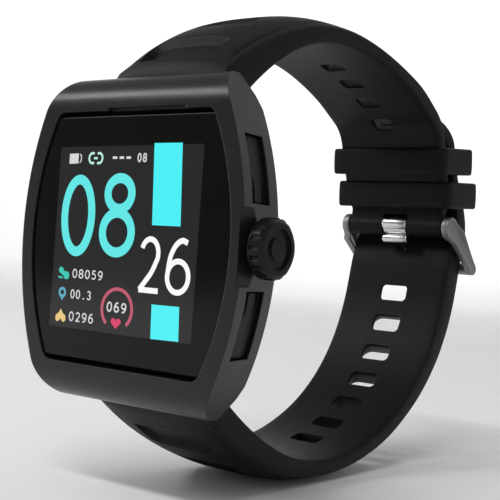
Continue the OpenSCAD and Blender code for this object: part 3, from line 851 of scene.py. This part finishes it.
def surface(
    name, color, rough, metal=0.0, grain=4000.0, bump=0.25, depth=0.00002, vary=0.12,
    patch=120.0, stretch=None, rough_vary=0.06, round_edge=0.0, specular=None, coat=0.0,
    fleck=None,
):
    """A finished surface: patchy colour and roughness, fine grain, softened edges, rare flecks."""
    n = Nodes(name)
    patches = n.noise(patch, 4.0, 0.55)
    base = n.mix(n.ranged(patches, 0, 1), rgba(color, 1 - vary), rgba(color, 1 + vary))
    if fleck:
        spots = n.noise(fleck[0], 1.0, 0.5)
        base = n.mix(n.ranged(spots, 0, 1, fleck[1], fleck[1] + 0.04), base, rgba(fleck[2]))
    n.set("Base Color", base)
    fine = n.noise(grain, 3.0, 0.6, stretch)
    worn = n.noise(patch * 7, 3.0, 0.6)
    n.set("Roughness", n.ranged(worn, rough - rough_vary, rough + rough_vary))
    n.set("Metallic", metal)
    if specular is not None:
        n.set("Specular IOR Level", specular)
    if coat:
        n.set("Coat Weight", coat)
        n.set("Coat Roughness", 0.12)
    if round_edge:
        soft = n.add("ShaderNodeBevel", {"Radius": round_edge * MM}, samples=4)
        n.bump(bump, depth, fine, Normal=soft.outputs[0])
    else:
        n.bump(bump, depth, fine)
    return n.mat


def glowing(name, color, strength):
    """A lit area of the display: its own light, a glass-like gloss and a faint grid of dots."""
    n = Nodes(name)
    n.set("Base Color", (0.004, 0.004, 0.004, 1))
    inputs = {
        "Vector": n.coords, "Scale": 9000.0,
        "Color1": rgba(color, 1.04), "Color2": rgba(color, 0.96),
    }
    n.set("Emission Color", n.add("ShaderNodeTexChecker", inputs).outputs["Color"])
    n.set("Emission Strength", strength)
    n.set("Roughness", 0.12)
    n.set("Specular IOR Level", 0.3)
    n.bump(0.02, 0.000005, n.noise(900, 2))
    return n.mat


def circuit(name):
    """Green solder mask with darker tracks and small vias."""
    n = Nodes(name)
    cells = n.add(
        "ShaderNodeTexVoronoi", {"Vector": n.coords, "Scale": 700.0}, feature="DISTANCE_TO_EDGE"
    )
    tracks = n.ranged(cells.outputs["Distance"], 1, 0, 0.0, 0.08)
    base = n.mix(tracks, rgba((0.008, 0.085, 0.04)), rgba((0.02, 0.16, 0.07)))
    vias = n.noise(2600, 1.0)
    base = n.mix(n.ranged(vias, 0, 1, 0.7, 0.73), base, rgba((0.6, 0.45, 0.2)))
    n.set("Base Color", base)
    n.set("Roughness", 0.35)
    n.bump(0.4, 0.00003, tracks)
    return n.mat


def foil(name, color):
    """Creased thin metal, its colour darker in the crease hollows and lighter on the ridges:
    painted shade and painted highlight.
    """
    n = Nodes(name)
    creases_and_shade = n.noise(420, 5.0, 0.65)
    # painted shade and highlight: the colour follows the crease relief, darker in the hollows and
    # lighter on the ridges
    n.set("Base Color", n.mix(n.ranged(creases_and_shade, 0, 1), rgba(color, 0.85), rgba(color, 1.1)))
    n.set("Metallic", 0.9)
    n.set("Roughness", n.ranged(creases_and_shade, 0.22, 0.42))
    n.bump(0.5, 0.0001, creases_and_shade)
    return n.mat


case_paint = surface("case_paint", (0.0085, 0.0085, 0.009), 0.3, metal=0.1, grain=9000, bump=0.18,
                     depth=0.00001, vary=0.06, patch=60, rough_vary=0.02,
                     round_edge=0.22, specular=0.4)
inlay_paint = surface("inlay_paint", (0.006, 0.006, 0.0065), 0.5, grain=7000, bump=0.35,
                      specular=0.25, round_edge=0.12, vary=0.1)
silicone = surface("silicone", (0.0062, 0.0062, 0.0066), 0.5, grain=5200, bump=0.3,
                   depth=0.000025, vary=0.08, patch=90, rough_vary=0.025, specular=0.16,
                   fleck=(9000, 0.76, (0.018, 0.018, 0.019)))
glass_black = surface("glass_black", (0.001, 0.001, 0.0012), 0.06, grain=300, bump=0.02,
                      depth=0.000005, vary=0.05, rough_vary=0.02, round_edge=0.12, specular=0.2)
rubber_seal = surface("rubber_seal", (0.006, 0.006, 0.006), 0.7, grain=5000, bump=0.4)
red_seal = surface("red_seal", (0.13, 0.02, 0.015), 0.6, grain=5000, bump=0.4)
frame_plastic = surface("frame_plastic", (0.06, 0.06, 0.065), 0.55, grain=3500, bump=0.5)
cover_plastic = surface("cover_plastic", (0.014, 0.014, 0.015), 0.4, grain=6000, bump=0.35,
                        round_edge=0.15, vary=0.1)
chip_black = surface("chip_black", (0.012, 0.012, 0.013), 0.45, grain=6000, bump=0.4,
                     fleck=(5000, 0.75, (0.12, 0.12, 0.12)))
panel_metal = surface("panel_metal", (0.32, 0.32, 0.33), 0.32, metal=0.9, grain=60, bump=0.4,
                      stretch=(2, 200, 200), round_edge=0.08)
gold_plate = surface("gold_plate", (0.78, 0.56, 0.2), 0.25, metal=1.0, grain=3000, bump=0.15,
                     round_edge=0.06)
screw_steel = surface("screw_steel", (0.16, 0.16, 0.17), 0.35, metal=1.0, grain=5000, bump=0.3,
                      round_edge=0.06)
turned_steel = surface("turned_steel", (0.5, 0.5, 0.51), 0.28, metal=1.0, grain=40, bump=0.35,
                       stretch=(260, 4, 4), round_edge=0.06)
crown_paint = surface("crown_paint", (0.008, 0.008, 0.0085), 0.34, metal=0.4, grain=8000, bump=0.2,
                      depth=0.00001, round_edge=0.14, specular=0.3)
bush_white = surface("bush_white", (0.6, 0.6, 0.55), 0.5, grain=4000, bump=0.3)
sensor_dark = surface("sensor_dark", (0.004, 0.004, 0.006), 0.08, grain=400, bump=0.02,
                      rough_vary=0.02, coat=0.5)
led_clear = surface("led_clear", (0.2, 0.5, 0.25), 0.2, grain=2000, bump=0.1)
buckle_steel = surface("buckle_steel", (0.3, 0.295, 0.295), 0.46, metal=0.8, grain=5200, bump=0.5,
                       depth=0.00003, vary=0.12, rough_vary=0.08, patch=500)
tongue_steel = surface("tongue_steel", (0.72, 0.72, 0.72), 0.24, metal=1.0, grain=50, bump=0.1,
                       stretch=(4, 220, 220), round_edge=0.12)
magnet_plate = surface("magnet_plate", (0.45, 0.45, 0.47), 0.3, metal=1.0, grain=3000, bump=0.2,
                       round_edge=0.08)
board_green = circuit("board_green")
battery_foil = foil("battery_foil", (0.5, 0.52, 0.56))
can_foil = foil("can_foil", (0.6, 0.61, 0.62))

PAINT = {
    "case_body": case_paint, "side_inlay_3_upper": inlay_paint, "side_inlay_3_lower": inlay_paint,
    "side_inlay_9_upper": inlay_paint, "side_inlay_9_lower": inlay_paint,
    "glass_cover": glass_black, "glass_gasket": rubber_seal, "display_face": glass_black,
    "display_module": panel_metal, "inner_frame": frame_plastic, "main_board": board_green,
    "board_chips": chip_black, "shield_can": can_foil, "battery": battery_foil,
    "vibration_motor": turned_steel, "microphone": gold_plate, "back_cover": cover_plastic,
    "back_gasket": red_seal, "back_screws": screw_steel, "sensor_window": sensor_dark,
    "sensor_leds": led_clear, "charging_contacts": gold_plate, "charging_magnets": magnet_plate,
    "crown_tube": turned_steel, "crown_switch": chip_black, "crown_bush": bush_white,
    "crown_cap": crown_paint, "crown_stem": turned_steel, "crown_seal": rubber_seal,
    "crown_clip": turned_steel, "strap_upper": silicone, "strap_lower": silicone,
    "spring_bar_12": turned_steel, "spring_bar_6": turned_steel, "plunger_12": turned_steel,
    "plunger_6": turned_steel, "release_knob_12": turned_steel, "release_knob_6": turned_steel,
    "fixed_keeper": silicone, "free_keeper": silicone, "buckle_pin": turned_steel,
    "buckle_frame": buckle_steel, "buckle_tongue": tongue_steel,
}
for name, obj in nodes.items():
    if obj.material_slots:
        for slot in obj.material_slots:
            slot.material = PAINT[name]
    else:
        obj.data.materials.append(PAINT[name])


def dress(obj, material, body, replaced=()):
    """Give a piece its one material and its body, and hide the CAD nodes that it stands in for."""
    obj.data.materials.clear()
    obj.data.materials.append(material)
    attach(obj, body)
    if replaced:
        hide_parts(*replaced)


# ---------- pieces ----------

dress(make_strap_upper(), silicone, "strap_loop", ["strap_upper"])
dress(make_strap_lower(), silicone, "strap_loop", ["strap_lower"])
fixed, free = make_keepers()
dress(fixed, silicone, "strap_loop", ["fixed_keeper"])
dress(free, silicone, "keeper_loop", ["free_keeper"])
dress(make_buckle(), buckle_steel, "buckle", ["buckle_frame"])
dress(make_tongue_fold(), tongue_steel, "tongue")

GLOW = {
    "display_panel": glowing("glow_panel", (0.012, 0.012, 0.013), 1.0),
    "display_hours": glowing("glow_hours", (0.13, 0.87, 0.86), 0.9),
    "display_bars": glowing("glow_bars", (0.07, 0.90, 0.95), 0.95),
    "display_minutes": glowing("glow_minutes", (1.0, 1.0, 1.0), 0.95),
    "display_small": glowing("glow_small", (0.85, 0.85, 0.85), 0.8),
    "display_link": glowing("glow_link", (0.55, 0.9, 0.75), 0.9),
    "display_steps": glowing("glow_steps", (0.05, 0.62, 0.5), 0.9),
    "display_pin": glowing("glow_pin", (0.12, 0.45, 0.6), 0.9),
    "display_flame": glowing("glow_flame", (0.86, 0.62, 0.22), 0.9),
    "display_ring": glowing("glow_ring", (0.55, 0.1, 0.16), 0.95),
    "display_heart": glowing("glow_heart", (0.72, 0.05, 0.14), 0.95),
}
for name, parts in display_pieces().items():
    piece = solid(name, *joined(parts), angle=30)
    dress(piece, GLOW[name], "case")

# ---------- camera, light and floor ----------

# azimuth, elevation and roll in degrees; the place in metres and the lens in millimetres
CAM_AZ, CAM_EL, CAM_ROLL = 38.15, -0.16, 3.76
CAM_PLACE = (0.0919, -0.1296, -0.0006)
CAM_LENS = 78.54
az, el, roll = (math.radians(v) for v in (CAM_AZ, CAM_EL, CAM_ROLL))
back = Vector((math.sin(az) * math.cos(el), -math.cos(az) * math.cos(el), math.sin(el)))
level = Vector((math.cos(az), math.sin(az), 0))
over = back.cross(level)
right = level * math.cos(roll) + over * math.sin(roll)
up = back.cross(right)
cam_data = bpy.data.cameras.new("camera")
cam = bpy.data.objects.new("camera", cam_data)
bpy.context.scene.collection.objects.link(cam)
rot = Matrix((right, up, back)).transposed().to_4x4()
cam.matrix_world = Matrix.Translation(CAM_PLACE) @ rot
cam_data.lens = CAM_LENS
cam_data.sensor_width = 36.0
cam_data.clip_start, cam_data.clip_end = 0.01, 20
bpy.context.scene.camera = cam


def area(name, place, aim, size, watts):
    """A soft rectangular lamp at a place, turned to a point; places and sizes are in metres."""
    data = bpy.data.lights.new(name, "AREA")
    data.shape = "RECTANGLE"
    data.size, data.size_y = size
    data.energy = watts
    lamp = bpy.data.objects.new(name, data)
    bpy.context.scene.collection.objects.link(lamp)
    lamp.location = place
    lamp.visible_camera = False
    lamp.rotation_mode = "QUATERNION"
    lamp.rotation_quaternion = (Vector(aim) - Vector(place)).to_track_quat("-Z", "Y")


area("key_top", (-0.42, -0.36, 0.42), (0, 0, 0), (0.35, 0.12), 1.0)
area("front_top", (0.0, -0.35, 0.5), (0, 0, 0), (0.45, 0.07), 1.6)
area("overhead", (0, 0.12, 0.7), (0, 0.02, 0), (0.5, 0.5), 0.22)
area("strip_right", (0.47, -0.3, 0.1), (0, -0.01, 0), (0.03, 0.4), 0.08)
area("rim_left", (-0.5, -0.05, 0.1), (0, -0.02, 0), (0.08, 0.45), 0.4)
area("back_top", (0.1, 0.5, 0.5), (0, 0, 0), (0.5, 0.2), 0.22)
area("backdrop", (-0.5, 0.75, 0.75), (-0.9, 1.15, 0.1), (0.8, 0.4), 6.0)

world = bpy.data.worlds.new("studio")
bpy.context.scene.world = world
world.use_nodes = True
sky = world.node_tree.nodes["Background"]
sky.inputs["Color"].default_value = (1, 1, 1, 1)
sky.inputs["Strength"].default_value = 0.26
bpy.context.scene.view_settings.view_transform = "Standard"


# the floor lies below the CAD box, because the detailed strap is a little thicker there
FLOOR_DROP = 0.7
FLOOR_STEPS = 64
FLOOR_PROFILE = (
    (1, 0), (300, 0), (700, 0), (1000, 20), (1250, 110), (1420, 280), (1500, 550), (1520, 900),
)


def floor():
    """A pale studio bowl, flat in the middle and curving up far away, open at the top."""
    base = cad_lo.z / MM - FLOOR_DROP
    angles = [2 * math.pi * k / FLOOR_STEPS for k in range(FLOOR_STEPS)]
    rings = [
        [(r * math.cos(a), r * math.sin(a), base + h) for a in angles] for r, h in FLOOR_PROFILE
    ]
    verts, faces = loft(rings)
    bowl = solid("studio_floor", verts, faces[:-1], angle=80)
    n = Nodes("floor_paper")
    soft = n.noise(6, 3.0)
    n.set("Base Color", n.mix(n.ranged(soft, 0, 1), (0.86, 0.86, 0.86, 1), (0.89, 0.89, 0.89, 1)))
    n.set("Roughness", 0.9)
    bowl.data.materials.append(n.mat)


floor()
